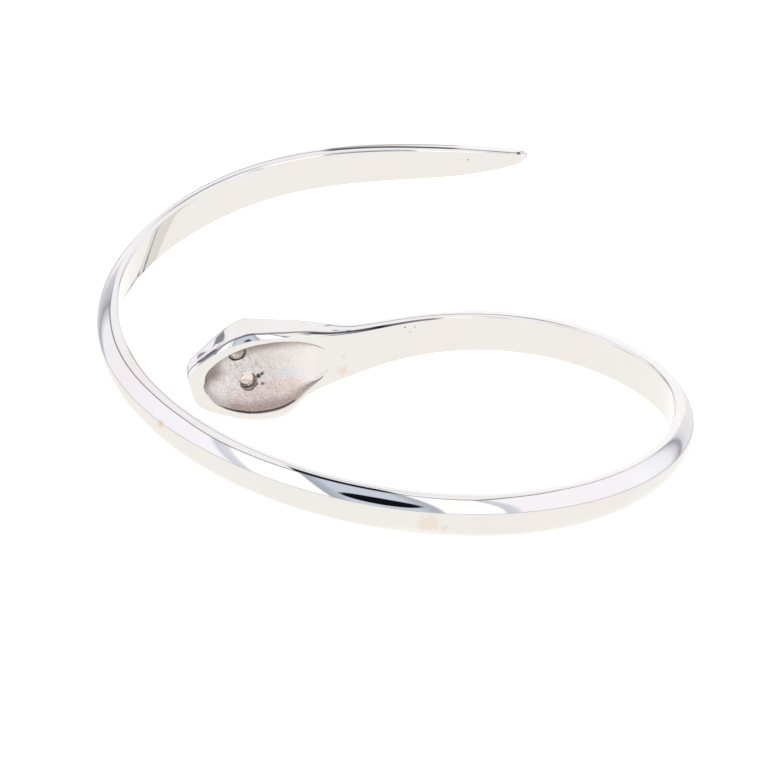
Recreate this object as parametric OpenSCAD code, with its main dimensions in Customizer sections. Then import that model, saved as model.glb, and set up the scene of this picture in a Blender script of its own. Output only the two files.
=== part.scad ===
// A snake bangle: one cast silver strip that wraps the wrist one turn and a quarter,
// from a hollow-backed snake's head to a tapered tail, with two round stones as eyes.
// It lies as it comes to rest by itself, on the cheek of the head and the low front of the band.

/* [Band] */
// Width of the flat inner face along most of the band
band_w = 4.5; // [3.8:0.1:5.2]
// Full thickness, from the inner face to the crown of the dome
band_t = 2.2; // [1.9:0.05:2.5]
// Height of the plain side wall under the dome
wall_h = 1.15; // [0.9:0.1:1.5]
// Rounding of the rims of the inner face
rim_r = 0.3; // [0.2:0.02:0.36]
// Size of the loop against the modelled one
loop_scale = 1; // [0.95:0.01:1.1]

/* [Head] */
// Width of the head across the cheeks, at the inner face
head_w = 10.6; // [9.6:0.1:11]
// Thickness of the head over the eyes
head_t = 5.3; // [5:0.1:5.8]
// Skew of the head against the band's own line, in degrees
head_skew = 10; // [0:1:16]
// Depth of the hollow in the back of the head, under the eyes
hollow_d = 3.4; // [2.8:0.1:3.6]
// Height of the jaw line above the inner face, where the cheek begins
jaw_h = 0.55; // [0.45:0.05:0.7]
// Height of the mouth line above the inner face
mouth_h = 0.95; // [0.85:0.05:1.1]
// Half the width of the groove that marks the mouth
mouth_r = 0.16; // [0.1:0.01:0.22]

/* [Eyes] */
// Diameter of each round stone
stone_d = 2.3; // [2.1:0.1:2.4]
// Distance between the centres of the two stones
eye_gap = 4.9; // [4.4:0.1:5.1]
// Distance from the snout to the stones
eye_s = 6.2; // [5.5:0.1:7.5]
// Outward tilt of each stone
eye_tilt = 12; // [0:1:16]
// Clear space round each stone in its seat
stone_gap = 0.04; // [0.02:0.01:0.08]

/* [Rest] */
// Lean of the bangle's axis towards the front, as it lies
lean_front = 17.3; // [0:0.1:25]
// Lean of the bangle's axis towards the right
lean_side = 3.8; // [-10:0.1:10]

/* [Hidden] */

SILVER = [0.83, 0.82, 0.81];
STONE = [0.62, 0.50, 0.44];

// Where the bottom centre of the box round the leaning bangle lies, in the bangle's own axes
BOX_FOOT = [2.92, -2.02, -14.65];

// The loop's centre line: turn about the bangle's axis, radius there, height there
PATH_ROWS = [
    // turn, radius, height
    [-302.6, 26.5, 13.3],
    [-290, 26.0, 11.4],
    [-270, 25.7, 9.8],
    [-240, 25.8, 8.6],
    [-210, 26.8, 6.7],
    [-180, 28.5, 4.9],
    [-150, 30.2, 3.0],
    [-120, 31.3, 1.0],
    [-90, 32.1, -1.1],
    [-60, 32.5, -3.0],
    [-30, 32.8, -4.7],
    [0, 32.7, -6.5],
    [30, 32.0, -8.9],
    [60, 31.1, -11.4],
    [85, 30.1, -14.6],
    [100, 29.5, -16.9],
    [108, 29.5, -17.8],
    [115, 29.8, -18.9],
    [130, 32.6, -20.2],
    [134, 33.8, -20.5],
];

// The band's own rows, as shares of its width, thickness and wall, and its tilt in degrees
BAND_ROWS = [
    // turn, width, thickness, wall, tilt
    [-302.6, 0.14, 0.72, 1.00, 0],
    [-301.6, 0.25, 0.88, 1.30, 0],
    [-297, 0.44, 0.92, 1.40, 0],
    [-290, 0.62, 0.95, 1.45, 0],
    [-280, 0.78, 0.98, 1.50, 0],
    [-265, 0.89, 1.01, 1.50, 0],
    [-240, 0.97, 0.98, 1.15, 0],
    [-210, 1.03, 0.94, 0.80, 0],
    [-180, 1.01, 0.96, 0.55, 2],
    [-150, 0.98, 0.99, 0.80, 6],
    [-120, 0.99, 1.00, 1.00, 7],
    [-85, 0.98, 1.00, 1.00, 7],
    [-50, 1.03, 1.00, 0.90, 6],
    [-20, 1.03, 1.00, 0.85, 4],
    [20, 1.02, 1.03, 1.05, 0],
    [70, 0.98, 1.08, 1.30, 0],
    [84, 1.03, 1.15, 1.38, 0],
    [90, 1.09, 1.30, 1.45, 0],
];

// The head's rows, by the distance from the snout, as shares of its width and thickness
HEAD_ROWS = [
    // from snout, width, flare, wall, thickness
    [0.00, 0.28, 0.00, 0.20, 0.38],
    [0.12, 0.37, 0.00, 0.25, 0.47],
    [0.40, 0.46, 0.01, 0.30, 0.55],
    [1.00, 0.55, 0.03, 0.36, 0.66],
    [2.20, 0.69, 0.04, 0.39, 0.76],
    [4.20, 0.87, 0.08, 0.42, 0.91],
    [6.20, 0.98, 0.12, 0.45, 0.99],
    [8.20, 1.00, 0.15, 0.49, 1.00],
    [10.2, 0.92, 0.13, 0.49, 0.94],
    [12.4, 0.77, 0.09, 0.48, 0.83],
    [14.6, 0.67, 0.06, 0.46, 0.73],
    [17.0, 0.58, 0.03, 0.43, 0.68],
    [20.0, 0.52, 0.00, 0.38, 0.63],
    [24.0, 0.46, 0.00, 0.32, 0.53],
];

// The hollow in the back of the head, as shares of the head's width and of its own depth
HOLLOW_ROWS = [
    // from snout, width, depth
    [1.4, 0.10, 0.20],
    [1.8, 0.34, 0.45],
    [2.8, 0.54, 0.70],
    [4.2, 0.70, 0.92],
    [6.2, 0.83, 1.00],
    [8.2, 0.87, 1.00],
    [10.2, 0.82, 0.84],
    [12.4, 0.66, 0.56],
    [14.6, 0.46, 0.22],
    [16.4, 0.24, 0.02],
    [17.4, 0.12, -0.08],
];

SNOUT_TURN = 130.4;
TURN_PER_MM = 1.8;
NECK_S = 20;
// The head's rows end here, and run over into the band's between these two turns
HEAD_END = 24;
BLEND_FROM = 98;
BLEND_TO = 84;
// The skew fades out over this much before its end
SKEW_END = 13;
SKEW_FADE = 6;
NECK_TURN = SNOUT_TURN - NECK_S * TURN_PER_MM;
BAND_STEP = 3.4;
// The rims' rounding against the half width, at most, and how fast it fades as the cheeks flare
RIM_SHARE = 0.125;
RIM_FADE = 2;
DOME_SIDES = 19;
// The cheek's steps, the share of the flare under the jaw line, and the line's highest place in a low wall
CHEEK_SIDES = 3;
JAW_SHARE = 0.38;
JAW_TOP = 0.5;
// How straight the cheek rises: 1 is straight, 0 a quarter of a wave
CHEEK_FLAT = 0.6;
// Fullness of the dome: 1 is half an ellipse, 2 a parabola
BAND_DOME = 1.8;
HEAD_DOME = 1;
// The fullness changes between these distances from the snout
DOME_FROM = 13;
DOME_TO = 26;
HOLLOW_SIDES = 14;
// How far a cut runs past the face that it opens, and how far a seat does
PAST = 0.6;
SEAT_PAST = 3;
// Where the mouth line ends on each cheek, how deep it is against its width, and how thin it ends
MOUTH_END = 4.8;
MOUTH_DEEP = 1.5;
MOUTH_FADE = 0.35;
// How square the trough of the hollow is: 1 is an ellipse, less is squarer
HOLLOW_SQUARE = 0.45;

// Both eyes stand this much off the head's midline, towards its upper side
EYE_SHIFT = 0.3;
// The eyes: the girdle's depth under the crown of the head, the collar's foot, height and walls,
// and the share of the stone that the hole behind it shows
GIRDLE_DROP = 0.12;
COLLAR_FOOT = 0.9;
COLLAR_H = 1.05;
COLLAR_FOOT_WALL = 0.55;
COLLAR_TOP_WALL = 0.26;
SEAT_BACK = 0.9;
// Half the girdle's thickness, as a share of the stone's radius
GIRDLE_HALF = 0.05;
ROUND_SIDES = 32;

// The rows between which x lies
function span(rows, x, i = 0) =
    i + 2 >= len(rows) || x < rows[i + 1][0] ? i : span(rows, x, i + 1);

// The rise of column c from row i to the next
function rise(rows, i, c) =
    (rows[i + 1][c] - rows[i][c]) / (rows[i + 1][0] - rows[i][0]);

// The slope of a free curve through the rows, and of one that never overshoots them
function free_slope(rows, i, c) =
    i == 0 ? rise(rows, 0, c) :
    i == len(rows) - 1 ? rise(rows, i - 1, c) :
    let (before = rows[i][0] - rows[i - 1][0], after = rows[i + 1][0] - rows[i][0])
    (rise(rows, i - 1, c) * after + rise(rows, i, c) * before) / (before + after);

function calm_slope(rows, i, c) =
    i == 0 ? rise(rows, 0, c) :
    i == len(rows) - 1 ? rise(rows, i - 1, c) :
    let (p = rise(rows, i - 1, c), q = rise(rows, i, c))
    p * q <= 0 ? 0 : 2 * p * q / (p + q);

// Column c of a table at x
function read(rows, x, c, calm = true) =
    let (
        i = span(rows, x),
        h = rows[i + 1][0] - rows[i][0],
        t = (x - rows[i][0]) / h,
        m0 = calm ? calm_slope(rows, i, c) : free_slope(rows, i, c),
        m1 = calm ? calm_slope(rows, i + 1, c) : free_slope(rows, i + 1, c)
    )
    (1 + 2 * t) * pow(1 - t, 2) * rows[i][c] + t * pow(1 - t, 2) * h * m0
    + t * t * (3 - 2 * t) * rows[i + 1][c] + t * t * (t - 1) * h * m1;

function unit(v) = v / norm(v);

// A soft step from 0 to 1
function ease(t) = let (k = max(0, min(1, t))) k * k * (3 - 2 * k);

// The centre of the inner face at a turn
function centre(turn) =
    let (r = loop_scale * read(PATH_ROWS, turn, 1, false))
    [r * cos(turn), r * sin(turn), read(PATH_ROWS, turn, 2, false)];

// The frame there: along the band, across its width, and outward
function along(turn) = unit(centre(turn + 0.05) - centre(turn - 0.05));
function outward(turn) = let (t = along(turn)) unit([t[1], -t[0], 0]);
function across(turn) = cross(outward(turn), along(turn));

// A point of the strip, whose section tilts outward at the top by the band's tilt
function tilt(turn) = turn > 90 ? 0 : read(BAND_ROWS, turn, 4);
function place(turn, u, o) =
    let (t = tilt(turn))
    centre(turn) + (u * cos(t) + o * sin(t)) * across(turn) + (o * cos(t) - u * sin(t)) * outward(turn);
function turn_at(s) = SNOUT_TURN - s * TURN_PER_MM;

// A point of the head: its midline is skewed against the band, less and less towards the neck
function skewed(s, u) = s - u * tan(head_skew) * max(0, min(1, (SKEW_END - s) / SKEW_FADE));
function head_place(s, u, o) = place(turn_at(skewed(s, u)), u, o);

// Half width, flare, wall, thickness and dome power of the band and of the head
function band_form(turn) = [
    band_w / 2 * read(BAND_ROWS, turn, 1), 0,
    wall_h * read(BAND_ROWS, turn, 3), band_t * read(BAND_ROWS, turn, 2), BAND_DOME
];
function head_form(s) = [
    head_w / 2 * read(HEAD_ROWS, s, 1), head_w * read(HEAD_ROWS, s, 2),
    head_t * read(HEAD_ROWS, s, 3), head_t * read(HEAD_ROWS, s, 4),
    HEAD_DOME + (BAND_DOME - HEAD_DOME) * ease((s - DOME_FROM) / (DOME_TO - DOME_FROM))
];

// The same anywhere on the strip: the head runs over into the band at the neck
function form_at(s) =
    let (turn = turn_at(s), f = ease((turn - BLEND_TO) / (BLEND_FROM - BLEND_TO)))
    head_form(min(s, HEAD_END)) * f + band_form(min(turn, 90)) * (1 - f);

// One section: rims of the inner face, side walls and dome, as pairs of across and outward
function section(form) =
    let (hw = form[0], side = form[0] + form[1], wall = form[2], rise = form[3] - form[2])
    let (e = rim_at(form), jaw = jaw_at(form))
    concat(
        [[-hw, e], [-hw + 0.3 * e, 0.3 * e], [-hw + e, 0]],
        [[hw - e, 0], [hw - 0.3 * e, 0.3 * e], [hw, e]],
        [for (i = [0:CHEEK_SIDES - 1]) let (o = jaw + (wall - jaw) * i / CHEEK_SIDES) [cheek(form, o), o]],
        [for (i = [0:DOME_SIDES])
            let (a = 180 * i / DOME_SIDES)
            [side * cos(a), wall + rise * pow(sin(a), form[4])]],
        [for (i = [CHEEK_SIDES - 1:-1:0]) let (o = jaw + (wall - jaw) * i / CHEEK_SIDES) [-cheek(form, o), o]]
    );

// The rims' rounding, the jaw line's height, and the half width at the height o:
// the wall flares to the jaw line, then bends up into a rounder cheek
function rim_at(form) = min(rim_r, form[0] * RIM_SHARE) / (1 + RIM_FADE * form[1]);
function jaw_at(form) = min(jaw_h, JAW_TOP * form[2]);
function cheek(form, o) =
    let (
        e = rim_at(form),
        jaw = jaw_at(form),
        k = max(0, min(1, (o - jaw) / (form[2] - jaw))),
        low = max(0, min(1, (o - e) / (jaw - e))),
        high = CHEEK_FLAT * k + (1 - CHEEK_FLAT) * sin(90 * k)
    )
    form[0] + form[1] * (JAW_SHARE * low + (1 - JAW_SHARE) * high);

// Joins rings of points into a closed solid
module sweep(rings) {
    n = len(rings);
    k = len(rings[0]);
    points = [for (ring = rings) for (p = ring) p];
    sides = [for (i = [0:n - 2]) for (j = [0:k - 1])
        let (a = i * k + j, b = i * k + (j + 1) % k)
        each [[a, b, b + k], [a, b + k, a + k]]];
    ends = [[for (j = [k - 1:-1:0]) j], [for (j = [0:k - 1]) (n - 1) * k + j]];
    polyhedron(points, concat(sides, ends), convexity = 8);
}

HEAD_STEPS = [0, 0.05, 0.12, 0.25, 0.4, 0.65, 1, 1.5, 2.2, 3, 4, 5, 6, 7, 8, 9, 10, 11, 12.2, 13.4, 14.6,
    16, 17.5, 19];
TAIL_STEPS = [-300, -301, -301.6, -302.2, -302.6];

module snake_form() {
    head_rings = [for (s = HEAD_STEPS)
        [for (p = section(form_at(s))) head_place(s, p[0], p[1])]];
    band_turns = concat(
        [for (turn = [NECK_TURN:-BAND_STEP:-299]) turn],
        TAIL_STEPS);
    band_rings = [for (turn = band_turns)
        [for (p = section(form_at((SNOUT_TURN - turn) / TURN_PER_MM))) place(turn, p[0], p[1])]];
    sweep(concat(head_rings, band_rings));
}

// The hollow: a rounded trough that rises to the inner face at the neck
module head_hollow() {
    stops = [1.4, 1.55, 1.8, 2.2, 2.8, 3.4, 4.2, 5.2, 6.2, 7.2, 8.2, 9.2, 10.2, 11.3, 12.4, 13.5, 14.6,
        15.5, 16.4, 17.4];
    sweep([for (s = stops)
        let (
            hw = head_w / 2 * read(HOLLOW_ROWS, s, 1),
            floor_o = hollow_d * read(HOLLOW_ROWS, s, 2)
        )
        [for (i = [0:HOLLOW_SIDES])
            let (a = 180 * i / HOLLOW_SIDES)
            head_place(s, hw * cos(a), -PAST + (floor_o + PAST) * pow(sin(a), HOLLOW_SQUARE))]]);
}

// The mouth line runs from one corner of the jaw round the snout to the other
module mouth_groove() {
    stops = [MOUTH_END, 4, 3, 2.2, 1.5, 1, 0.6, 0.3, 0.1];
    edge = [for (s = stops) [s, cheek(head_form(s), mouth_h)]];
    tip = head_form(0)[0];
    route = concat(
        edge, [[0, tip * 0.6], [-0.02, 0], [0, -tip * 0.6]],
        [for (i = [len(edge) - 1:-1:0]) [edge[i][0], -edge[i][1]]]);
    last = len(route) - 1;
    sweep([for (i = [0:last])
        let (
            here = route[i],
            step = route[min(i + 1, last)] - route[max(i - 1, 0)],
            side = unit([-step[1], step[0]]),
            r = mouth_r * (i == 0 || i == last ? MOUTH_FADE : 1)
        )
        [for (a = [0:60:300])
            let (q = here + r * MOUTH_DEEP * cos(a) * side)
            head_place(q[0], q[1], mouth_h + r * sin(a))]]);
}

// Puts its children on the head at the distance s from the snout: x forward, y across, z outward
module on_head(s) {
    turn = turn_at(s);
    x = along(turn);
    y = across(turn);
    z = outward(turn);
    c = centre(turn);
    multmatrix([
        [x[0], y[0], z[0], c[0]],
        [x[1], y[1], z[1], c[1]],
        [x[2], y[2], z[2], c[2]]])
        children();
}

// Each eye's own place, with the stone's girdle at z = 0
module at_eye(side) {
    girdle_o = head_t - GIRDLE_DROP;
    eye_u = EYE_SHIFT + side * eye_gap / 2;
    on_head(skewed(eye_s, eye_u))
        translate([0, eye_u, girdle_o])
            rotate([-side * eye_tilt, 0, 0])
                children();
}

// A collar holds the stone, and a hole behind it opens into the hollow
module eye_collar() {
    r = stone_d / 2;
    translate([0, 0, -COLLAR_FOOT])
        cylinder(h = COLLAR_H, r1 = r + COLLAR_FOOT_WALL, r2 = r + COLLAR_TOP_WALL, $fn = ROUND_SIDES);
}

module eye_seat() {
    r = stone_d / 2 + stone_gap;
    back_r = stone_d / 2 * SEAT_BACK;
    ledge = -GIRDLE_HALF * stone_d / 2 - stone_gap;
    rotate_extrude($fn = ROUND_SIDES)
        polygon([
            [0, -SEAT_PAST], [back_r, -SEAT_PAST], [back_r, ledge - (r - back_r)],
            [r, ledge], [r, SEAT_PAST], [0, SEAT_PAST]
        ]);
}

// A round brilliant: table, star, kite and half facets over a thin girdle, and a pointed back
module brilliant() {
    r = stone_d / 2;
    table_r = 0.56 * r;
    star_r = 0.80 * r;
    girdle = GIRDLE_HALF * r;
    crown = 0.34 * r;
    culet = 0.80 * r;
    half_r = 0.72 * r;
    // Heights at which the kites and the long facets of the back are flat
    star_z = crown - (crown - girdle) * (star_r * cos(22.5) - table_r) / (r - table_r);
    half_z = -culet + (culet - girdle) * half_r * cos(22.5) / r;
    points = concat(
        [for (i = [0:7]) [table_r * cos(45 * i + 22.5), table_r * sin(45 * i + 22.5), crown]],
        [for (i = [0:7]) [star_r * cos(45 * i), star_r * sin(45 * i), star_z]],
        [for (i = [0:15]) [r * cos(22.5 * i), r * sin(22.5 * i), girdle]],
        [for (i = [0:15]) [r * cos(22.5 * i), r * sin(22.5 * i), -girdle]],
        [for (i = [0:7]) [half_r * cos(45 * i), half_r * sin(45 * i), half_z]],
        [[0, 0, -culet]]);
    top = 16;
    low = 32;
    back = 48;
    point = 56;
    crown_faces = [for (i = [0:7])
        let (n = (i + 1) % 8, g = 2 * i + 1)
        each [
            [i, 8 + n, n],
            [i, 8 + i, top + g], [i, top + g, 8 + n],
            [8 + i, top + 2 * i, top + g], [8 + n, top + g, top + (2 * i + 2) % 16]]];
    girdle_faces = [for (i = [0:15]) let (n = (i + 1) % 16) [top + i, low + i, low + n, top + n]];
    back_faces = [for (i = [0:7])
        let (n = (i + 1) % 8, g = 2 * i + 1)
        each [
            [point, low + g, back + i], [point, back + n, low + g],
            [back + i, low + g, low + 2 * i], [back + n, low + (2 * i + 2) % 16, low + g]]];
    table_face = [[for (i = [0:7]) i]];
    polyhedron(points,
        [for (f = concat(table_face, crown_faces, girdle_faces, back_faces)) [for (i = [len(f) - 1:-1:0]) f[i]]]);
}

// Lays the finished bangle down: its axis leans, and its box stands on the floor about the origin
module laid_down() {
    rotate([lean_front, lean_side, 0])
        translate(-BOX_FOOT)
            children();
}

module snake_bangle() {
    color(SILVER)
        laid_down()
            difference() {
                union() {
                    snake_form();
                    for (side = [-1, 1])
                        at_eye(side) eye_collar();
                }
                head_hollow();
                mouth_groove();
                for (side = [-1, 1])
                    at_eye(side) eye_seat();
            }
}

module eye_stone(side) {
    color(STONE)
        laid_down()
            at_eye(side) brilliant();
}

module eye_stone_upper() {
    eye_stone(1);
}

module eye_stone_lower() {
    eye_stone(-1);
}

snake_bangle();
eye_stone_upper();
eye_stone_lower();
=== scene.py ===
"""Looks of the snake bangle: the polished casting, its stones, a pale floor, a light tent and the camera."""
import math

import bmesh
import bpy
import numpy as np
from mathutils import Matrix, Vector, kdtree


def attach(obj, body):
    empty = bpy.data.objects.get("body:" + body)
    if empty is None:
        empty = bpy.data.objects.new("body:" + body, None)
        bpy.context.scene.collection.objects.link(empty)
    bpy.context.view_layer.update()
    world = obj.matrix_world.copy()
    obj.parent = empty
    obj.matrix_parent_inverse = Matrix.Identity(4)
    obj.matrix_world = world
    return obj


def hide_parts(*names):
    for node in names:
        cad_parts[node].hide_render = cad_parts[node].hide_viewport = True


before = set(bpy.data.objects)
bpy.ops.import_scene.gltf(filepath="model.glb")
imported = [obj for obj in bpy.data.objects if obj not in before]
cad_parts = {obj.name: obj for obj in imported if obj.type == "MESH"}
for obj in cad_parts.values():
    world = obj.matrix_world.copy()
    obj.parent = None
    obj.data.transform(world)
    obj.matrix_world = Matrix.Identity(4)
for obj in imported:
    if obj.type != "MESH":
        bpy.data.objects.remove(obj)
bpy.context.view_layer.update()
MM = 0.001

# The strip's tables and sizes, in mm and degrees, as in part.scad and in the bangle's own axes
# turn about the bangle's axis, radius, height
PATH_ROWS = (
    (-302.6, 26.5, 13.3), (-290, 26.0, 11.4), (-270, 25.7, 9.8), (-240, 25.8, 8.6), (-210, 26.8, 6.7),
    (-180, 28.5, 4.9), (-150, 30.2, 3.0), (-120, 31.3, 1.0), (-90, 32.1, -1.1), (-60, 32.5, -3.0),
    (-30, 32.8, -4.7), (0, 32.7, -6.5), (30, 32.0, -8.9), (60, 31.1, -11.4), (85, 30.1, -14.6),
    (100, 29.5, -16.9), (108, 29.5, -17.8), (115, 29.8, -18.9), (130, 32.6, -20.2), (134, 33.8, -20.5))
# turn, width, thickness, wall, tilt
BAND_ROWS = (
    (-302.6, 0.14, 0.72, 1.00, 0), (-301.6, 0.25, 0.88, 1.30, 0), (-297, 0.44, 0.92, 1.40, 0),
    (-290, 0.62, 0.95, 1.45, 0), (-280, 0.78, 0.98, 1.50, 0), (-265, 0.89, 1.01, 1.50, 0),
    (-240, 0.97, 0.98, 1.15, 0), (-210, 1.03, 0.94, 0.80, 0), (-180, 1.01, 0.96, 0.55, 2),
    (-150, 0.98, 0.99, 0.80, 6), (-120, 0.99, 1.00, 1.00, 7), (-85, 0.98, 1.00, 1.00, 7),
    (-50, 1.03, 1.00, 0.90, 6), (-20, 1.03, 1.00, 0.85, 4), (20, 1.02, 1.03, 1.05, 0),
    (70, 0.98, 1.08, 1.30, 0), (84, 1.03, 1.15, 1.38, 0), (90, 1.09, 1.30, 1.45, 0))
# from snout, width, flare, wall, thickness
HEAD_ROWS = (
    (0.00, 0.28, 0.00, 0.20, 0.38), (0.12, 0.37, 0.00, 0.25, 0.47), (0.40, 0.46, 0.01, 0.30, 0.55),
    (1.00, 0.55, 0.03, 0.36, 0.66), (2.20, 0.69, 0.04, 0.39, 0.76), (4.20, 0.87, 0.08, 0.42, 0.91),
    (6.20, 0.98, 0.12, 0.45, 0.99), (8.20, 1.00, 0.15, 0.49, 1.00), (10.2, 0.92, 0.13, 0.49, 0.94),
    (12.4, 0.77, 0.09, 0.48, 0.83), (14.6, 0.67, 0.06, 0.46, 0.73), (17.0, 0.58, 0.03, 0.43, 0.68),
    (20.0, 0.52, 0.00, 0.38, 0.63), (24.0, 0.46, 0.00, 0.32, 0.53))
# from snout, width, depth
HOLLOW_ROWS = (
    (1.4, 0.10, 0.20), (1.8, 0.34, 0.45), (2.8, 0.54, 0.70), (4.2, 0.70, 0.92), (6.2, 0.83, 1.00),
    (8.2, 0.87, 1.00), (10.2, 0.82, 0.84), (12.4, 0.66, 0.56), (14.6, 0.46, 0.22), (16.4, 0.24, 0.02),
    (17.4, 0.12, -0.08))
BAND_W, BAND_T, WALL_H, RIM_R, RIM_SHARE, RIM_FADE = 4.5, 2.2, 1.15, 0.3, 0.125, 2
HEAD_W, HEAD_T, HEAD_SKEW, HOLLOW_D = 10.6, 5.3, 10, 3.4
MOUTH_H, MOUTH_R, MOUTH_END, MOUTH_DEEP = 0.95, 0.16, 4.8, 1.5
JAW_H, JAW_TOP, JAW_SHARE, CHEEK_FLAT = 0.55, 0.5, 0.38, 0.6
STONE_D, EYE_GAP, EYE_S, EYE_TILT, EYE_SHIFT, STONE_GAP = 2.3, 4.9, 6.2, 12, 0.3, 0.04
GIRDLE_DROP, GIRDLE_HALF, SEAT_BACK, SEAT_PAST = 0.12, 0.05, 0.9, 3
PAST, HOLLOW_SQUARE = 0.6, 0.45
# Where the snout is, how far the strip turns for each mm, and where the head's skew fades out
SNOUT_TURN, TURN_PER_MM, SKEW_END, SKEW_FADE = 130.4, 1.8, 13, 6
# The turns of the band's first row and of the tail's tip, and where the head's rows end
BAND_FROM, TAIL_TURN, HEAD_END = 90, PATH_ROWS[0][0], 24
# The head runs over into the band between these turns, and its dome fills out between these distances
BLEND_FROM, BLEND_TO, DOME_FROM, DOME_TO = 98, 84, 13, 26
BAND_DOME, HEAD_DOME = 1.8, 1.0
# How the bangle lies
LEAN_FRONT, LEAN_SIDE = 17.3, 3.8
BOX_FOOT = Vector((2.92, -2.02, -14.65))

# Over what length the rows' curves are evened out: degrees on the band, mm on the head and in the hollow
BAND_SOFT, HEAD_SOFT, HOLLOW_SOFT_W, HOLLOW_SOFT_D = 4.0, 0.5, 0.15, 0.2
# Near the tail and the snout they are evened out less
TAIL_CALM, SNOUT_CALM = 12, 2
TROUGH_STEPS, DOME_STEPS, RIM_STEPS, ROUND_SIDES = 24, 44, 8, 64
# Steps up the side wall: to the jaw line, to the mouth line, across it and up the cheek
WALL_JAW, WALL_LOW, WALL_LINE, WALL_CHEEK = 4, 3, 9, 8
# Hand polishing leaves each side wall slightly round: how much against its height
WALL_ROUND = 0.028
# The mouth line's room above it and on both sides, in its half widths, and the length over which it ends
LINE_TOP, LINE_SIDE, LINE_FADE = 1.4, 1.15, 1.2
# The hollow's ends; past them it is a flat strip in the inner face, which widens from the third value on
TROUGH_FROM, TROUGH_TO, STRIP_FROM = 1.25, 17.3, 15
TROUGH_LEAD, STRIP_HALF, LIP_LEAST = 0.15, 0.18, 0.25
# Depth at which the hollow is fully matt, and the length over which that fades out towards the neck
MATT_DEPTH, MATT_FADE = 0.25, 4
# The fine rings of the head end here, and those of the tail begin this far from its tip
HEAD_RINGS, TAIL_RINGS = 18.0, 4
# How far the rounded caps stand out at the snout and at the tail
SNOUT_CAP, TAIL_CAP = 0.10, 0.12


def calm(rows, col):
    """A curve through column col that never overshoots its rows."""
    x = np.array([r[0] for r in rows], float)
    y = np.array([r[col] for r in rows], float)
    rise = np.diff(y) / np.diff(x)
    slope = np.zeros(len(x))
    slope[0], slope[-1] = rise[0], rise[-1]
    for i in range(1, len(x) - 1):
        p, q = rise[i - 1], rise[i]
        slope[i] = 0 if p * q <= 0 else 2 * p * q / (p + q)

    def at(v):
        v = np.clip(v, x[0], x[-1])
        i = np.clip(np.searchsorted(x, v, side="right") - 1, 0, len(x) - 2)
        h = x[i + 1] - x[i]
        t = (v - x[i]) / h
        return ((1 + 2 * t) * (1 - t) ** 2 * y[i] + t * (1 - t) ** 2 * h * slope[i]
                + t * t * (3 - 2 * t) * y[i + 1] + t * t * (t - 1) * h * slope[i + 1])
    return at


def natural(rows, col):
    """A cubic through column col with no jump in its bend, for mirror-like surfaces."""
    x = np.array([r[0] for r in rows], float)
    y = np.array([r[col] for r in rows], float)
    n = len(x)
    h = np.diff(x)
    a = np.zeros((n, n))
    b = np.zeros(n)
    a[0, 0] = a[-1, -1] = 1
    for i in range(1, n - 1):
        a[i, i - 1:i + 2] = h[i - 1], 2 * (h[i - 1] + h[i]), h[i]
        b[i] = 6 * ((y[i + 1] - y[i]) / h[i] - (y[i] - y[i - 1]) / h[i - 1])
    bend = np.linalg.solve(a, b)

    def at(v):
        i = np.clip(np.searchsorted(x, v, side="right") - 1, 0, n - 2)
        p, q = x[i + 1] - v, v - x[i]
        return ((bend[i] * p ** 3 + bend[i + 1] * q ** 3) / (6 * h[i])
                + (y[i] / h[i] - bend[i] * h[i] / 6) * p + (y[i + 1] / h[i] - bend[i + 1] * h[i] / 6) * q)
    return at


def soft(curve, v, width):
    """The curve evened out over a width, so that its own joints don't show in reflections."""
    steps = np.linspace(-2, 2, 9)
    weights = np.exp(-steps ** 2)
    return sum(w * curve(v + k * width) for k, w in zip(steps, weights)) / weights.sum()


def ease(t):
    """A soft step from 0 to 1."""
    k = np.clip(t, 0, 1)
    return k * k * (3 - 2 * k)


def unit(v):
    return v / np.linalg.norm(v, axis=-1, keepdims=True)


radius_at, height_at = natural(PATH_ROWS, 1), natural(PATH_ROWS, 2)
band_cols = [calm(BAND_ROWS, c) for c in (1, 2, 3)]
tilt_col = calm(BAND_ROWS, 4)
head_cols = [calm(HEAD_ROWS, c) for c in (1, 2, 3, 4)]
hollow_width, hollow_depth = calm(HOLLOW_ROWS, 1), calm(HOLLOW_ROWS, 2)


def centre(turn):
    """The centre of the inner face at a turn."""
    a = np.radians(turn)
    r = radius_at(turn)
    return np.stack([r * np.cos(a), r * np.sin(a), height_at(turn)], -1)


def axes(turn):
    """Along the strip, across it and outward."""
    along = unit(centre(turn + 0.05) - centre(turn - 0.05))
    outward = unit(np.stack([along[..., 1], -along[..., 0], np.zeros_like(along[..., 0])], -1))
    return along, np.cross(outward, along), outward


def place(turn, u, o):
    """Points of the strip, whose section tilts outward at the top by the band's tilt."""
    _, across, outward = axes(turn)
    lean = np.radians(soft(tilt_col, np.minimum(turn, BAND_FROM), BAND_SOFT) * (turn < BAND_FROM))
    side = u * np.cos(lean) + o * np.sin(lean)
    out = o * np.cos(lean) - u * np.sin(lean)
    return centre(turn) + side[..., None] * across + out[..., None] * outward


def turn_at(s):
    return SNOUT_TURN - s * TURN_PER_MM


def skewed(s, u):
    """The head's midline is skewed against the band, less and less towards the neck."""
    return s - u * math.tan(math.radians(HEAD_SKEW)) * ease((SKEW_END - s) / SKEW_FADE)


def band_form(turn):
    near_tail = np.clip((turn - TAIL_TURN) / TAIL_CALM, 0.02, 1)
    w, t, wall = (soft(c, turn, BAND_SOFT * near_tail) for c in band_cols)
    return np.stack([BAND_W / 2 * w, 0 * w, WALL_H * wall, BAND_T * t, BAND_DOME + 0 * w], -1)


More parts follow.
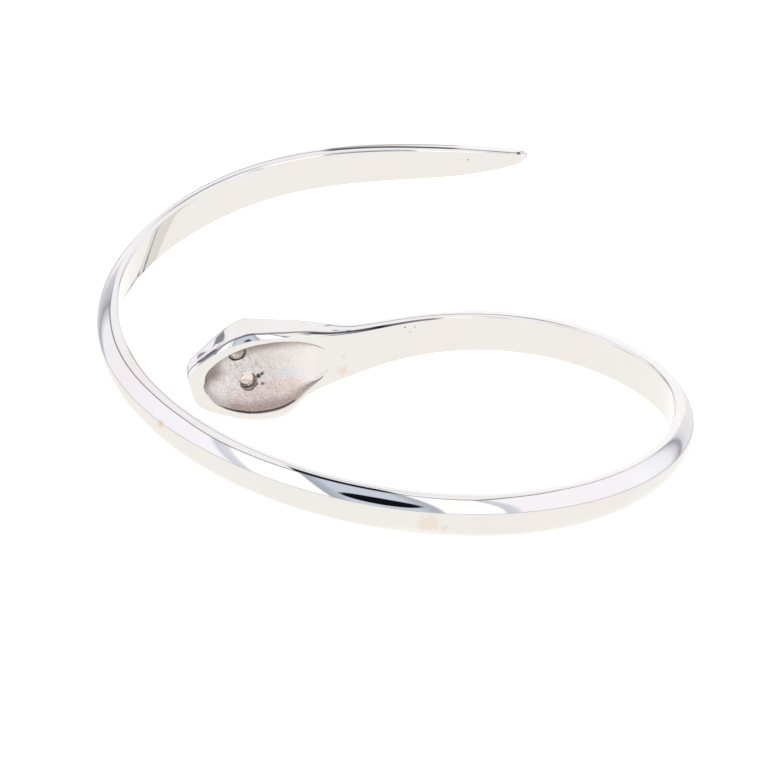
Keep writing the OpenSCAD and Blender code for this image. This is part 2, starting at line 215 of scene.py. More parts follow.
def head_form(s):
    near_snout = np.clip(s / SNOUT_CALM, 0.0, 1)
    w, flare, wall, t = (soft(c, s, HEAD_SOFT * near_snout) for c in head_cols)
    dome = HEAD_DOME + (BAND_DOME - HEAD_DOME) * ease((s - DOME_FROM) / (DOME_TO - DOME_FROM))
    return np.stack([HEAD_W / 2 * w, HEAD_W * flare, HEAD_T * wall, HEAD_T * t, dome + 0 * w], -1)


def form_at(s):
    """Half width, flare, wall, thickness and dome power at the distance s from the snout."""
    turn = turn_at(s)
    f = ease((turn - BLEND_TO) / (BLEND_FROM - BLEND_TO))[..., None]
    return head_form(np.minimum(s, HEAD_END)) * f + band_form(np.minimum(turn, BAND_FROM)) * (1 - f)


def trough(s, hw, flat):
    """The hollow's points across and outward, how matt each is, and the half width of its edge."""
    width = HEAD_W / 2 * float(soft(hollow_width, np.array(s), HOLLOW_SOFT_W))
    depth = HOLLOW_D * float(soft(hollow_depth, np.array(s), HOLLOW_SOFT_D))
    if TROUGH_FROM < s < TROUGH_TO:
        depth = max(depth, 0.0) * min(1.0, (s - TROUGH_FROM) / TROUGH_LEAD)
        first = math.asin(min(0.98, (PAST / (depth + PAST)) ** (1 / HOLLOW_SQUARE)))
        edge = max(STRIP_HALF, width * math.cos(first))
    else:
        depth, first, edge = 0.0, 0.3, STRIP_HALF
    if s > STRIP_FROM:
        edge = max(edge, min(0.45 * hw, STRIP_HALF + 0.25 * (s - STRIP_FROM)))
    edge = min(edge, flat - LIP_LEAST)
    us, os_, marks = [], [], []
    for k in range(TROUGH_STEPS + 1):
        a = first + (math.pi - 2 * first) * k / TROUGH_STEPS
        x = math.cos(a) / math.cos(first)
        us.append(-edge * x)
        deep = (depth + PAST) * math.sin(a) ** HOLLOW_SQUARE - PAST if depth > 0 else 0.0
        os_.append(max(deep, 0.0))
        before_neck = min(1.0, max(0.0, (STRIP_FROM - s) / MATT_FADE))
        marks.append(min(1.0, os_[-1] / MATT_DEPTH) * before_neck if depth > 0 else 0.0)
    return us, os_, marks, edge


def wall_points(s, e, form):
    """Across and outward up the side wall, with the mouth line cut into it."""
    hw, flare, wall = form[:3]
    jaw = min(JAW_H, JAW_TOP * wall)
    mouth = min(MOUTH_H, wall - LINE_TOP * MOUTH_R)
    a, b = mouth - LINE_SIDE * MOUTH_R, mouth + LINE_SIDE * MOUTH_R
    near = np.concatenate([np.linspace(e, jaw, WALL_JAW + 1)[1:], np.linspace(jaw, a, WALL_LOW + 1)[1:-1],
                           np.linspace(a, b, WALL_LINE), np.linspace(b, wall, WALL_CHEEK + 1)[1:-1]])
    even = np.linspace(e, wall, len(near) + 2)[1:-1]
    o = even + (near - even) * float(np.clip(HEAD_END - s, 0, 1))
    k = np.clip((o - jaw) / (wall - jaw), 0, 1)
    cheek = CHEEK_FLAT * k + (1 - CHEEK_FLAT) * np.sin(np.pi / 2 * k)
    u = hw + flare * (JAW_SHARE * np.clip((o - e) / (jaw - e), 0, 1) + (1 - JAW_SHARE) * cheek)
    # Only the part under the jaw line is round on the head, and the whole wall on the band
    top = jaw + (wall - jaw) * float(np.clip((s - 12) / 6, 0, 1))
    f = np.clip((o - e) / (top - e), 0, 1)
    u = u + WALL_ROUND * top * 4 * f * (1 - f)
    cut_r = MOUTH_R * float(np.clip((MOUTH_END - s) / LINE_FADE, 0, 1)) ** 0.5
    dip = np.clip(1 - ((o - mouth) / max(cut_r, 1e-6)) ** 2, 0, 1) ** 0.5
    return zip(u - MOUTH_DEEP * cut_r * dip, o)


def section(s, form):
    """One ring of points as across and outward, from the trough's one edge round to the other."""
    hw, flare, wall, thick, power = form
    side, rise = hw + flare, thick - wall
    e = min(RIM_R, hw * RIM_SHARE) / (1 + RIM_FADE * flare)
    us, os_, marks, edge = trough(s, hw, hw - e)
    # Lip, rim and side wall up to the dome, on the + side
    half = [(edge + (hw - e - edge) * k, 0.0) for k in (0.04, 0.35, 0.7)]
    for k in range(RIM_STEPS + 1):
        a = math.pi / 2 * k / RIM_STEPS
        half.append((hw - e + e * math.sin(a), e - e * math.cos(a)))
    half.extend(wall_points(s, e, form))
    us += [p[0] for p in half]
    os_ += [p[1] for p in half]
    for k in range(DOME_STEPS + 1):
        a = math.pi * k / DOME_STEPS
        us.append(side * math.cos(a))
        os_.append(wall + rise * math.sin(a) ** power if 0 < k < DOME_STEPS else wall)
    us += [-p[0] for p in reversed(half)]
    os_ += [p[1] for p in reversed(half)]
    marks += [0.0] * (len(us) - len(marks))
    return us, os_, marks


def strip_stations():
    """Distances from the snout of all rings, close together where the form changes fast."""
    head = np.concatenate([np.arange(0, 0.5, 0.05), np.arange(0.5, 1.2, 0.1), np.arange(1.2, 3.0, 0.06),
                           np.arange(3.0, HEAD_RINGS, 0.14)])
    end = (SNOUT_TURN - TAIL_TURN) / TURN_PER_MM
    band = np.linspace(HEAD_RINGS, end - TAIL_RINGS, 400)
    tail = end - TAIL_RINGS + TAIL_RINGS * np.sin(np.linspace(0, math.pi / 2, 40)[1:])
    return np.concatenate([head, band, tail])


def capped(verts, facts, faces, first, size, inward, push):
    """Closes the end whose ring starts at first by rings that shrink to a point."""
    ring = verts[first:first + size]
    middle = ring.mean(0)
    next_middle = verts[first + inward * size:first + inward * size + size].mean(0)
    out = unit(middle - next_middle) * push
    last = first
    for step in (0.92, 0.75, 0.5, 0.25):
        start = len(verts)
        verts = np.concatenate([verts, middle + (ring - middle) * step + out * math.sqrt(1 - step * step)])
        facts = np.concatenate([facts, facts[first:first + size] * [1, 1, 1, 0]])
        for j in range(size):
            b = (j + 1) % size
            quad = (last + j, last + b, start + b, start + j)
            faces.append(quad if inward > 0 else quad[::-1])
        last = start
    tip = len(verts)
    verts = np.concatenate([verts, [middle + out]])
    facts = np.concatenate([facts, [facts[first] * [1, 0, 1, 0]]])
    for j in range(size):
        tri = (last + j, last + (j + 1) % size, tip)
        faces.append(tri if inward > 0 else tri[::-1])
    return verts, facts


def strip_mesh():
    """The strip as one closed sweep, with each point's place along, across, outward and in the hollow."""
    verts, facts, faces = [], [], []
    stations = strip_stations()
    for s, form in zip(stations, form_at(stations)):
        us, os_, marks = (np.array(v) for v in section(float(s), form))
        turn = turn_at(skewed(s, us))
        verts.append(place(turn, us, os_))
        facts.append(np.stack([np.full_like(us, s), us, os_, marks], -1))
    size = len(verts[0])
    verts, facts = np.concatenate(verts), np.concatenate(facts)
    for a in range(0, len(verts) - size, size):
        for j in range(size):
            b = (j + 1) % size
            faces.append((a + j, a + size + j, a + size + b, a + b))
    last_ring = len(verts) - size
    verts, facts = capped(verts, facts, faces, 0, size, 1, SNOUT_CAP)
    verts, facts = capped(verts, facts, faces, last_ring, size, -1, TAIL_CAP)
    return verts, facts, faces


LAID = Matrix.Rotation(math.radians(LEAN_SIDE), 4, "Y") @ Matrix.Rotation(math.radians(LEAN_FRONT), 4, "X")
LAID = LAID @ Matrix.Translation(-BOX_FOOT)


def laid(points):
    """Own axes in mm to the shared frame in metres."""
    m = np.array(LAID)
    return (points @ m[:3, :3].T + m[:3, 3]) * MM


def mesh_object(name, verts, faces):
    mesh = bpy.data.meshes.new(name)
    mesh.from_pydata([tuple(v) for v in verts], [], [tuple(f) for f in faces])
    mesh.validate()
    obj = bpy.data.objects.new(name, mesh)
    bpy.context.scene.collection.objects.link(obj)
    return obj


def at_eye(side):
    """The eye's own place, with the stone's girdle at z = 0, as a matrix in the bangle's own axes."""
    u = EYE_SHIFT + side * EYE_GAP / 2
    s = skewed(EYE_S, u)
    turn = np.array(turn_at(s))
    x, y, z = axes(turn)
    c = centre(turn)
    on_head = Matrix([(x[i], y[i], z[i], c[i]) for i in range(3)] + [(0, 0, 0, 1)])
    move = Matrix.Translation((0, u, HEAD_T - GIRDLE_DROP))
    return on_head @ move @ Matrix.Rotation(math.radians(-side * EYE_TILT), 4, "X")


def turned(profile, sides, matrix):
    """A closed solid of revolution from (radius, height) pairs, first and last on the axis."""
    rings = profile[1:-1]
    verts = [(0, 0, profile[0][1])]
    for r, z in rings:
        verts += [(r * math.cos(2 * math.pi * k / sides), r * math.sin(2 * math.pi * k / sides), z)
                  for k in range(sides)]
    verts.append((0, 0, profile[-1][1]))
    faces = []
    for k in range(sides):
        n = (k + 1) % sides
        faces.append((0, 1 + n, 1 + k))
        for i in range(len(rings) - 1):
            a = 1 + i * sides
            faces.append((a + k, a + n, a + sides + n, a + sides + k))
        a = 1 + (len(rings) - 1) * sides
        faces.append((a + k, a + n, len(verts) - 1))
    points = np.array([(matrix @ Vector(v))[:] for v in verts])
    return laid(points), faces


def cut(obj, other, operation):
    """Joins or subtracts a closed mesh, and removes it."""
    change = obj.modifiers.new("cut", "BOOLEAN")
    change.operation, change.object, change.solver = operation, other, "MANIFOLD"
    depsgraph = bpy.context.evaluated_depsgraph_get()
    mesh = bpy.data.meshes.new_from_object(obj.evaluated_get(depsgraph))
    obj.modifiers.clear()
    old = obj.data
    obj.data = mesh
    bpy.data.meshes.remove(old)
    bpy.data.objects.remove(other)


STONE_R = STONE_D / 2
SEAT_R = STONE_R + STONE_GAP
BACK_R = STONE_R * SEAT_BACK
LEDGE = -GIRDLE_HALF * STONE_R - STONE_GAP
# radius, height: a plain cone whose top edge is pressed over the stone
COLLAR = (
    (0, -0.90), (STONE_R + 0.55, -0.90), (STONE_R + 0.40, -0.36), (STONE_R + 0.32, -0.04),
    (STONE_R + 0.27, 0.07), (STONE_R + 0.20, 0.13), (STONE_R + 0.12, 0.15), (0, 0.15))
# radius, height: open at the front, a ledge under the stone's girdle, and a narrower hole behind it
SEAT = (
    (0, -SEAT_PAST), (BACK_R, -SEAT_PAST), (BACK_R, LEDGE - (SEAT_R - BACK_R)), (SEAT_R, LEDGE),
    (SEAT_R, SEAT_PAST), (0, SEAT_PAST))
# The hole's wall counts as bore this far round it, and from this far under the girdle
BORE_ROUND, BORE_FROM = 0.05, -1


def note_places(obj, verts, facts):
    """Stores each point's place on the strip, in mm, how far it is inside the hollow, and if in a bore."""
    tree = kdtree.KDTree(len(verts))
    for i, v in enumerate(verts):
        tree.insert(v, i)
    tree.balance()
    mesh = obj.data
    nearest = [tree.find(v.co)[1] for v in mesh.vertices]
    place_of = mesh.attributes.new("strip", "FLOAT_VECTOR", "POINT")
    place_of.data.foreach_set("vector", facts[nearest][:, :3].ravel())
    hollow = mesh.attributes.new("hollow", "FLOAT", "POINT")
    hollow.data.foreach_set("value", facts[nearest][:, 3])
    in_bore = np.zeros(len(mesh.vertices))
    for side in (-1, 1):
        to_eye = (LAID @ at_eye(side)).inverted()
        for i, v in enumerate(mesh.vertices):
            at = to_eye @ (v.co / MM)
            if math.hypot(at.x, at.y) < BACK_R + BORE_ROUND and -SEAT_PAST < at.z < BORE_FROM:
                in_bore[i] = 1
    bore = mesh.attributes.new("bore", "FLOAT", "POINT")
    bore.data.foreach_set("value", in_bore)


def silver_casting():
    """The whole casting: strip, collars round the stones, and their seats."""
    verts, facts, faces = strip_mesh()
    verts = laid(verts)
    obj = mesh_object("silver_casting", verts, faces)
    for side in (-1, 1):
        cut(obj, mesh_object("collar", *turned(COLLAR, ROUND_SIDES, at_eye(side))), "UNION")
    for side in (-1, 1):
        cut(obj, mesh_object("seat", *turned(SEAT, ROUND_SIDES, at_eye(side))), "DIFFERENCE")
    note_places(obj, verts, facts)
    obj.data.shade_smooth()
    obj.data.set_sharp_from_angle(angle=math.radians(28))
    return obj


bangle = silver_casting()
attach(bangle, "root")
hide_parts("snake_bangle")

# The photo's camera in the bangle's own axes: elevation and roll in degrees, distance and lens in mm
CAM_ELEV, CAM_ROLL, CAM_FAR, CAM_LENS, CAM_SENSOR = 28.0, -3.65, 655.7, 276.2, 36
# Where the axes' origin falls from the photo's middle, as a share of the picture's width
CAM_OFF_X, CAM_OFF_Y = 10.88 / 782, 41.24 / 782


def make_camera():
    e, r = math.radians(CAM_ELEV), math.radians(CAM_ROLL)
    right0, up0 = Vector((1, 0, 0)), Vector((0, math.sin(e), math.cos(e)))
    back = Vector((0, -math.cos(e), math.sin(e)))
    right = math.cos(r) * right0 - math.sin(r) * up0
    up = math.sin(r) * right0 + math.cos(r) * up0
    lean = LAID.to_3x3()
    cam = bpy.data.objects.new("camera", bpy.data.cameras.new("camera"))
    bpy.context.scene.collection.objects.link(cam)
    cam.data.lens, cam.data.sensor_width = CAM_LENS, CAM_SENSOR
    cam.location = (LAID @ (back * CAM_FAR)) * MM
    width = CAM_SENSOR / CAM_LENS
    look = lean @ (-back + right * CAM_OFF_X * width - up * CAM_OFF_Y * width)
    zc = -look.normalized()
    xc = (lean @ up).cross(zc).normalized()
    yc = zc.cross(xc)
    cam.rotation_mode = "QUATERNION"
    cam.rotation_quaternion = Matrix((xc, yc, zc)).transposed().to_quaternion()
    cam.data.clip_start, cam.data.clip_end = 0.01, 50
    bpy.context.scene.camera = cam


make_camera()


class Nodes:
    """Short names for building a shader."""

    def __init__(self, tree):
        self.tree = tree
        tree.nodes.clear()

    def feed(self, socket, value):
        if hasattr(value, "is_output"):
            self.tree.links.new(value, socket)
        else:
            socket.default_value = value

    def new(self, kind, inputs=None, **settings):
        node = self.tree.nodes.new(kind)
        for key, value in settings.items():
            setattr(node, key, value)
        for key, value in (inputs or {}).items():
            self.feed(node.inputs[key], value)
        return node

    def math(self, operation, a, b=0.0):
        return self.new("ShaderNodeMath", {0: a, 1: b}, operation=operation).outputs[0]

    def times(self, first, *others):
        for other in others:
            first = self.math("MULTIPLY", first, other)
        return first

    def apart(self, a, b):
        """How far two values lie apart."""
        return self.math("ABSOLUTE", self.math("SUBTRACT", a, b))

    def from_middle(self, value, middle, half):
        """How far a value lies from the middle of a range, as a share of its half width."""
        return self.math("DIVIDE", self.math("SUBTRACT", value, middle), half)

    def mix(self, factor, a, b):
        node = self.new("ShaderNodeMix", {"Factor": factor}, data_type="RGBA")
        self.feed(node.inputs[6], a)
        self.feed(node.inputs[7], b)
        return node.outputs[2]

    def ramp(self, value, low, high, to_low=0.0, to_high=1.0, smooth=True):
        return self.new("ShaderNodeMapRange", {0: value, 1: low, 2: high, 3: to_low, 4: to_high},
                        interpolation_type="SMOOTHSTEP" if smooth else "LINEAR").outputs[0]

    def noise(self, at, scale, detail):
        return self.new("ShaderNodeTexNoise", {"Vector": at, "Scale": scale, "Detail": detail}).outputs["Fac"]

    def stops(self, value, rows):
        """A colour ramp over bearings from -180 to 180."""
        node = self.new("ShaderNodeValToRGB", {0: self.ramp(value, -180.0, 180.0, smooth=False)})
        marks = node.color_ramp.elements
        while len(marks) < len(rows):
            marks.new(0.5)
        for mark, (bearing, *rgb) in zip(marks, rows):
            mark.position = (bearing + 180) / 360
            mark.color = (*rgb, 1)
        return node.outputs[0]


def new_material(name):
    mat = bpy.data.materials.new(name)
    mat.use_nodes = True
    return mat, Nodes(mat.node_tree)


POLISH, WARM_POLISH, PAINTED_CREASE_SHADE = (0.815, 0.805, 0.785, 1), (0.82, 0.775, 0.75, 1), (0.20, 0.20, 0.24, 1)
MATT_DULL, MATT_BRIGHT, MATT_PINK = (0.93, 0.89, 0.86, 1), (1.0, 0.99, 0.98, 1), (0.97, 0.84, 0.80, 1)
FILED_DARK, UPPER_PAINTED_SHADE, SNOUT_PAINTED_SHADE = (0.52, 0.46, 0.44, 1), (0.46, 0.39, 0.37, 1), (0.42, 0.36, 0.34, 1)
STREAK_PAINTED_HIGHLIGHT, LIP_DARK, BORE_PAINTED_SHADE = (0.90, 0.90, 0.98, 1), (0.08, 0.08, 0.10, 1), (0.16, 0.12, 0.10, 1)
REFLECTION_BLACK, STAIN, PIT = (0.005, 0.006, 0.012, 1), (0.78, 0.58, 0.46, 1), (0.10, 0.09, 0.09, 1)

# Marks on the metal: place along, across and outward, size, strength, and colour
MARKS = (
    (116.6, -0.6, 2.1, 1.3, 0.4, STAIN), (114.9, -1.0, 2.0, 0.5, 0.35, STAIN),
    (146.4, 0.1, 2.2, 0.5, 0.8, STAIN), (17.9, -0.1, 0.0, 0.35, 0.4, STAIN),
    (17.5, -1.8, 0.0, 0.7, 0.45, STAIN), (25.8, 1.7, 0.0, 0.14, 0.9, PIT),
    (26.2, 1.0, 0.0, 0.12, 0.7, PIT), (26.9, 1.5, 0.0, 0.12, 0.6, PIT),
    (233.2, 0.4, 0.0, 0.16, 0.5, PIT), (240.1, 0.5, 0.45, 0.32, 1.0, PIT),
    (70.7, -0.3, 0.0, 0.2, 1.0, PIT), (7.6, -1.4, 3.3, 0.36, 1.0, PIT),
    (8.1, -1.2, 3.3, 0.30, 1.0, PIT), (7.7, -2.4, 3.1, 0.22, 0.9, PIT),
    (7.1, -2.3, 3.1, 0.18, 0.8, PIT))
# Painted dark reflections as dark lines on the upper side wall: from and to along, outward at both ends,
# the least place across at both ends, half width and strength
PAINTED_REFLECTION_LINES = (
    (13, 25, 0.42, 0.12, 2.9, 2.0, 0.20, 0.9), (21, 31, 0.18, 0.00, 2.1, 1.7, 0.13, 0.8),
    (212.5, 232.5, 0.78, 0.62, 0.9, 0.9, 0.24, 0.9), (212.5, 232.5, 1.05, 1.45, 0.9, 0.9, 0.20, 0.6))


def polished_color(n, place_of, wall, s, u, o):
    """Polish with a warmer cast here and there, and painted shade in the mouth line and in the crease of the
    jaw.
    """
    tone = n.mix(n.ramp(n.noise(place_of, 0.12, 3.0), 0.4, 0.75), POLISH, WARM_POLISH)
    outside = n.math("MAXIMUM", n.ramp(n.math("ABSOLUTE", u), 3.0, 3.4), n.ramp(s, 9.0, 8.0))
    # Painted shade: the crease of the jaw and the mouth line are darkened
    crease_shade = n.times(n.ramp(n.apart(o, JAW_H), 0.13, 0.05), wall, outside, n.ramp(s, 18.0, 12.0))
    line = n.times(n.ramp(n.apart(o, MOUTH_H), 0.12, 0.04), wall, n.ramp(s, MOUTH_END, MOUTH_END - 0.6))
    return n.mix(n.times(n.math("MAXIMUM", crease_shade, line), 0.9), tone, PAINTED_CREASE_SHADE)


def matt_color(n, place_of, brushed, s, u):
    """The cast metal left matt in the hollow, with painted shade and painted highlights on it."""
    color = n.mix(n.ramp(brushed, 0.35, 0.65), MATT_DULL, MATT_BRIGHT)
    # The lower wall is pinkish, the upper wall grey as painted shade, with file marks
    color = n.mix(n.ramp(u, -1.9, -2.7), color, MATT_PINK)
    filed_at = n.new("ShaderNodeMapping", {"Vector": place_of, "Scale": (1.6, 0.35, 0.6),
                                           "Rotation": (0, 0, 0.7)}).outputs[0]
    filing = n.times(n.ramp(n.noise(filed_at, 3.2, 5.0), 0.46, 0.70), n.ramp(s, 13.5, 8.0, 0.1, 0.45))
    color = n.mix(filing, color, FILED_DARK)
    # Painted shade under the upper lip darkens the hollow's upper wall
    color = n.mix(n.ramp(u, 1.2, 3.0), color, UPPER_PAINTED_SHADE)
    # The snout end gets painted shade above and a painted highlight below
    color = n.mix(n.times(n.ramp(s, 4.8, 2.6), n.ramp(u, -0.8, 0.4)), color, SNOUT_PAINTED_SHADE)
    color = n.mix(n.times(n.ramp(s, 3.9, 3.0), n.ramp(u, -0.7, -1.4)), color, MATT_BRIGHT)
    # Painted highlight: a bluish white streak along the hollow's floor
    painted_streak = n.times(n.ramp(n.apart(u, -1.6), 0.6, 0.4), n.ramp(s, 9.4, 10.4), n.ramp(s, 16.2, 15.4))
    return n.mix(painted_streak, color, STREAK_PAINTED_HIGHLIGHT)


def with_dark_reflections(n, s, u, o, color):
    """The colour with painted dark reflections as lines on the upper side wall."""
    for first, last, low, high, inner, outer, half, strength in PAINTED_REFLECTION_LINES:
        off = n.apart(o, n.ramp(s, first, last, low, high, smooth=False))
        past = n.math("SUBTRACT", u, n.ramp(s, first, last, inner, outer, smooth=False))
        ends = n.times(n.ramp(s, first, first + 2), n.ramp(s, last, last - 2))
        upper = n.times(n.ramp(past, 0.0, 0.1), n.ramp(o, 0.005, 0.03))
        here = n.times(n.ramp(off, half, 0.5 * half), ends, upper, strength)
        # Painted dark reflection along each line
        color = n.mix(here, color, REFLECTION_BLACK)
    return color


def marked(n, place_of, color):
    """The colour with the stains and pits on it, each with a ragged edge."""
    ragged = n.new("ShaderNodeTexNoise", {"Vector": place_of, "Scale": 6.0, "Detail": 6.0}).outputs["Color"]
    moved = n.new("ShaderNodeVectorMath", {0: ragged, 1: (-0.5, -0.5, -0.5)}, operation="ADD").outputs[0]
    for s, u, o, size, strength, tint in MARKS:
        wobble = n.new("ShaderNodeVectorMath", {0: moved, "Scale": 2.6 * size}, operation="SCALE").outputs[0]
        here = n.new("ShaderNodeVectorMath", {0: place_of, 1: wobble}, operation="ADD").outputs[0]
        far = n.new("ShaderNodeVectorMath", {0: here, 1: (s, u, o)}, operation="DISTANCE").outputs["Value"]
        color = n.mix(n.ramp(far, size, 0.6 * size, 0.0, strength), color, tint)
    return color


def silver_material():
    mat, n = new_material("polished_silver")
    place_of = n.new("ShaderNodeAttribute", attribute_name="strip").outputs["Vector"]
    hollow = n.new("ShaderNodeAttribute", attribute_name="hollow").outputs["Fac"]
    bore = n.new("ShaderNodeAttribute", attribute_name="bore").outputs["Fac"]
    s, u, o = n.new("ShaderNodeSeparateXYZ", {0: place_of}).outputs
    brushed_at = n.new("ShaderNodeMapping", {"Vector": place_of, "Scale": (1.2, 9.0, 3.0)}).outputs[0]
    brushed = n.noise(brushed_at, 2.0, 5.0)
    wall = n.math("SUBTRACT", 1.0, hollow)
    color = n.mix(hollow, polished_color(n, place_of, wall, s, u, o), matt_color(n, place_of, brushed, s, u))
    # The lower lip's inner edge is painted dark
    lip = n.times(n.ramp(n.apart(hollow, 0.35), 0.30, 0.12), n.ramp(u, -2.0, -2.8), n.ramp(s, 10.9, 10.3))
    color = n.mix(n.times(lip, 0.9), color, LIP_DARK)
    color = marked(n, place_of, with_dark_reflections(n, s, u, o, color))
    # Painted shade: the walls of the bores behind the stones are darkened
    color = n.mix(n.ramp(bore, 0.72, 0.95), color, BORE_PAINTED_SHADE)
    polish = n.ramp(n.noise(place_of, 2.5, 4.0), 0.3, 0.8, 0.025, 0.07)
    matt = n.ramp(brushed, 0.3, 0.7, 0.22, 0.40)
    rough = n.new("ShaderNodeMix", {0: hollow, 2: polish, 3: matt}).outputs[0]
    bump = n.new("ShaderNodeBump", {"Height": n.times(brushed, hollow), "Strength": 0.9,
                                    "Distance": 0.00010}).outputs[0]
    shader = n.new("ShaderNodeBsdfPrincipled", {"Base Color": color, "Metallic": 1.0, "Roughness": rough,
                                                "Normal": bump})
    n.new("ShaderNodeOutputMaterial", {"Surface": shader.outputs[0]})
    return mat


def stone_material():
    mat, n = new_material("brown_stone")
    at = n.new("ShaderNodeTexCoord").outputs["Object"]
    cloud = n.ramp(n.noise(at, 900.0, 2.0), 0.35, 0.65)
    color = n.mix(cloud, (0.97, 0.91, 0.87, 1), (0.80, 0.68, 0.60, 1))
    shader = n.new("ShaderNodeBsdfPrincipled", {"Base Color": color, "Roughness": 0.02, "IOR": 1.76,
                                                "Transmission Weight": 0.85})
    n.new("ShaderNodeOutputMaterial", {"Surface": shader.outputs[0]})
    return mat


bangle.data.materials.clear()
bangle.data.materials.append(silver_material())
gem = stone_material()
for name in ("eye_stone_upper", "eye_stone_lower"):
    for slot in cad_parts[name].material_slots:
        slot.material = gem


def floor_object():
    """A round pale floor, large enough to fill every view."""
    mesh = bpy.data.meshes.new("floor")
    work = bmesh.new()
    bmesh.ops.create_circle(work, cap_ends=True, radius=3.0, segments=96)
    work.to_mesh(mesh)
    work.free()
    obj = bpy.data.objects.new("floor", mesh)
    bpy.context.scene.collection.objects.link(obj)
    mat, n = new_material("pale_floor")
    at = n.new("ShaderNodeTexCoord").outputs["Object"]
    grain = n.new("ShaderNodeTexNoise", {"Vector": at, "Scale": 300.0}).outputs["Fac"]
    tone = n.mix(n.ramp(grain, 0.3, 0.7), (0.90, 0.88, 0.85, 1), (0.89, 0.87, 0.84, 1))
    # A lit light-table top: its own glow leaves only faint shadows
    shader = n.new("ShaderNodeBsdfPrincipled", {
        "Base Color": tone, "Roughness": 0.7, "Specular IOR Level": 0.1,
        "Emission Color": (1.0, 1.0, 1.0, 1), "Emission Strength": 0.55})
    n.new("ShaderNodeOutputMaterial", {"Surface": shader.outputs[0]})
    mesh.materials.append(mat)
    # Reflections take the floor from the tent, where it ends at the walls
    obj.visible_glossy = False
    return obj


floor_object()

# The tent's walls as seen from the bangle: bearing from the front, positive to the right, red, green, blue
WALL_STOPS = (
    (-180, 0.98, 0.98, 1.02), (-168, 0.92, 0.93, 0.98), (-163, 0.64, 0.64, 0.70), (-158, 0.80, 0.80, 0.85),
    (-148, 0.70, 0.70, 0.75), (-142, 0.60, 0.60, 0.66), (-139.5, 0.40, 0.40, 0.47), (-137, 0.66, 0.66, 0.74),
    (-131, 1.06, 1.06, 1.14), (-52.5, 1.14, 1.145, 1.23), (-51.5, 0.74, 0.78, 0.88), (-44, 0.85, 0.88, 0.97),
    (-42, 1.35, 1.35, 1.35), (-14, 1.35, 1.35, 1.35), (-13, 0.44, 0.48, 0.56), (-8, 0.55, 0.60, 0.70),
    (-5, 0.70, 0.76, 0.89), (19, 0.70, 0.76, 0.89), (23, 0.55, 0.59, 0.68), (26.5, 0.47, 0.50, 0.57),
    (27.5, 1.35, 1.35, 1.35), (48, 1.35, 1.35, 1.35), (48.8, 0.70, 0.74, 0.84), (53, 0.80, 0.83, 0.92),
    (54.5, 1.13, 1.13, 1.20), (110, 1.13, 1.13, 1.20), (126, 1.02, 1.02, 1.10), (132, 0.66, 0.66, 0.73),
    (135.5, 0.36, 0.36, 0.42), (138, 0.80, 0.80, 0.86), (143, 0.92, 0.92, 0.98), (180, 0.98, 0.98, 1.02))
# Bearing and the elevation at which the walls meet the ceiling
TOP_STOPS = (
    (-180, 46), (-165, 44), (-140, 36), (-120, 40), (-90, 47), (-70, 47), (-50, 43), (-42, 44), (-13, 50),
    (7, 52), (27, 50), (43, 45), (52, 43), (65, 46), (90, 47), (120, 41), (137, 36), (165, 44), (180, 46))
# The slit in front, from and to, and the bearing, elevation and half sizes of the camera in it
SLIT_FROM, SLIT_TO, SLIT_SOFT = -16.0, 29.0, 3.0
LENS_X, LENS_Y, LENS_HALF_X, LENS_HALF_Y = 8.0, 15.0, 14.0, 12.0
# The dark opening high at the back: elevation, half sizes and brightness
GAP_Y, GAP_HALF_X, GAP_HALF_Y, GAP_GLOW = 64, 9, 2.2, 0.38
# Elevation of the floor's edge, of the gap over the slit, and of where the slit's glow ends
FLOOR_EDGE, SLIT_GAP, SLIT_TOP = -6.0, 56.0, 72.0


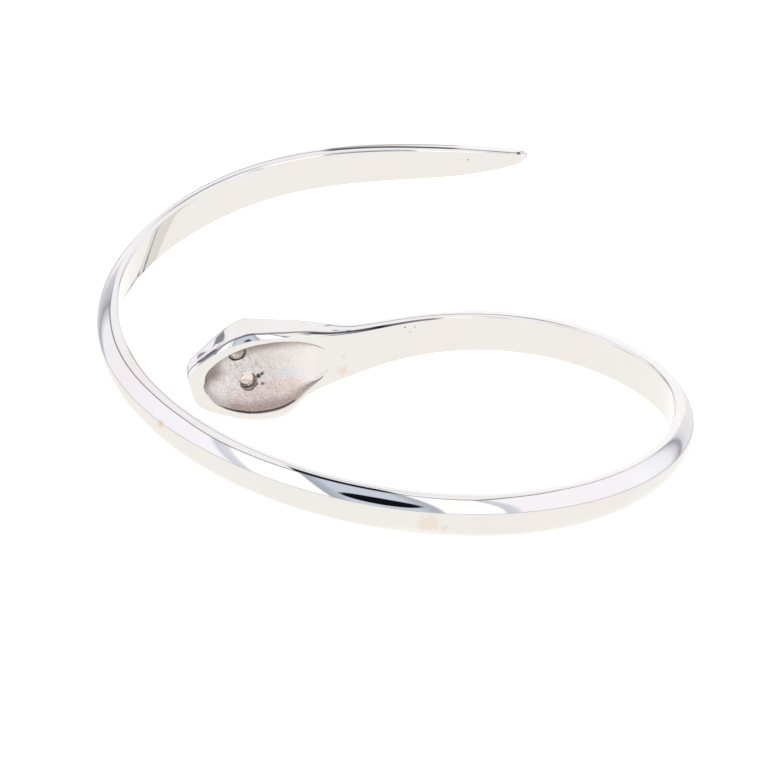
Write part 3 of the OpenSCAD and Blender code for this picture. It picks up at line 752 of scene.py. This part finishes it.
def tent_world():
    """A white light tent as seen from the bangle: walls with seams, bright panels and the slit in front."""
    world = bpy.data.worlds.new("tent")
    world.use_nodes = True
    n = Nodes(world.node_tree)
    x, y, z = n.new("ShaderNodeSeparateXYZ", {0: n.new("ShaderNodeTexCoord").outputs["Generated"]}).outputs
    degrees = 180 / math.pi
    phi = n.times(n.math("ARCTAN2", x, n.times(y, -1.0)), degrees)
    elev = n.times(n.math("ARCSINE", z), degrees)
    away = n.math("ABSOLUTE", phi)
    side = n.stops(phi, WALL_STOPS)
    top = n.times(n.stops(phi, [(bearing, *[high / 90] * 3) for bearing, high in TOP_STOPS]), 90.0)
    # The camera in the slit
    far_x = n.from_middle(phi, LENS_X, LENS_HALF_X)
    far_y = n.from_middle(elev, LENS_Y, LENS_HALF_Y)
    lens = n.math("ADD", n.times(far_x, far_x), n.times(far_y, far_y))
    side = n.mix(n.ramp(lens, 1.2, 0.8), side, (0.006, 0.007, 0.010, 1))
    # The back wall is brighter above the table's edge
    high_back = n.times(n.ramp(away, 148.0, 158.0), n.ramp(elev, 6.0, 14.0))
    side = n.mix(high_back, side, (1.13, 1.13, 1.15, 1))
    # The ceiling, with the slit's glow running up into it, and a dark line where it meets the walls
    above = n.math("SUBTRACT", elev, top)
    ceiling = n.mix(n.ramp(above, 0.0, 12.0), (1.04, 1.04, 1.08, 1), (1.08, 1.07, 1.10, 1))
    in_slit = n.times(n.ramp(phi, SLIT_FROM, SLIT_FROM + SLIT_SOFT),
                      n.ramp(phi, SLIT_TO, SLIT_TO - SLIT_SOFT))
    glow = n.times(in_slit, n.ramp(elev, SLIT_TOP, SLIT_TOP - 6))
    ceiling = n.mix(glow, ceiling, (0.70, 0.73, 0.79, 1))
    sky = n.mix(n.ramp(above, -0.4, 0.4), side, ceiling)
    line = n.ramp(n.math("ABSOLUTE", above), 2.2, 0.8)
    sky = n.mix(n.times(line, 0.9), sky, (0.22, 0.22, 0.26, 1))
    # The dark gaps over the slit and high at the back
    over_slit = n.times(in_slit, n.ramp(n.apart(elev, SLIT_GAP), 6.0, 4.5))
    sky = n.mix(over_slit, sky, (0.010, 0.013, 0.022, 1))
    gap_x = n.math("ABSOLUTE", n.from_middle(away, 180.0, GAP_HALF_X))
    gap_y = n.math("ABSOLUTE", n.from_middle(elev, GAP_Y, GAP_HALF_Y))
    gap = n.ramp(n.math("MAXIMUM", gap_x, gap_y), 1.15, 0.85)
    sky = n.mix(gap, sky, (GAP_GLOW, GAP_GLOW * 1.05, GAP_GLOW * 1.2, 1))
    # The floor and its dark line against the walls
    ground = n.mix(n.ramp(away, 140.0, 175.0), (1.07, 1.055, 1.03, 1), (1.12, 1.12, 1.10, 1))
    low = n.mix(n.ramp(elev, FLOOR_EDGE - 0.8, FLOOR_EDGE + 0.2), ground, sky)
    edge = n.ramp(n.apart(elev, FLOOR_EDGE), 2.6, 0.4)
    low = n.mix(n.times(edge, 0.75), low, (0.62, 0.63, 0.66, 1))
    # The camera itself sees plain white past the floor
    seen = n.new("ShaderNodeLightPath").outputs["Is Camera Ray"]
    color = n.mix(seen, low, (1.2, 1.2, 1.2, 1))
    back = n.new("ShaderNodeBackground", {"Color": color})
    n.new("ShaderNodeOutputWorld", {"Surface": back.outputs[0]})
    bpy.context.scene.world = world


def soft_lamp():
    """One wide soft lamp above, which the polish doesn't mirror."""
    lamp = bpy.data.lights.new("top_softbox", "AREA")
    lamp.shape, lamp.size, lamp.energy = "DISK", 1.2, 3.0
    softbox = bpy.data.objects.new("top_softbox", lamp)
    softbox.location = (0.1, 0.1, 1.2)
    softbox.visible_glossy = False
    bpy.context.scene.collection.objects.link(softbox)


tent_world()
soft_lamp()
bpy.context.scene.view_settings.view_transform = "Standard"
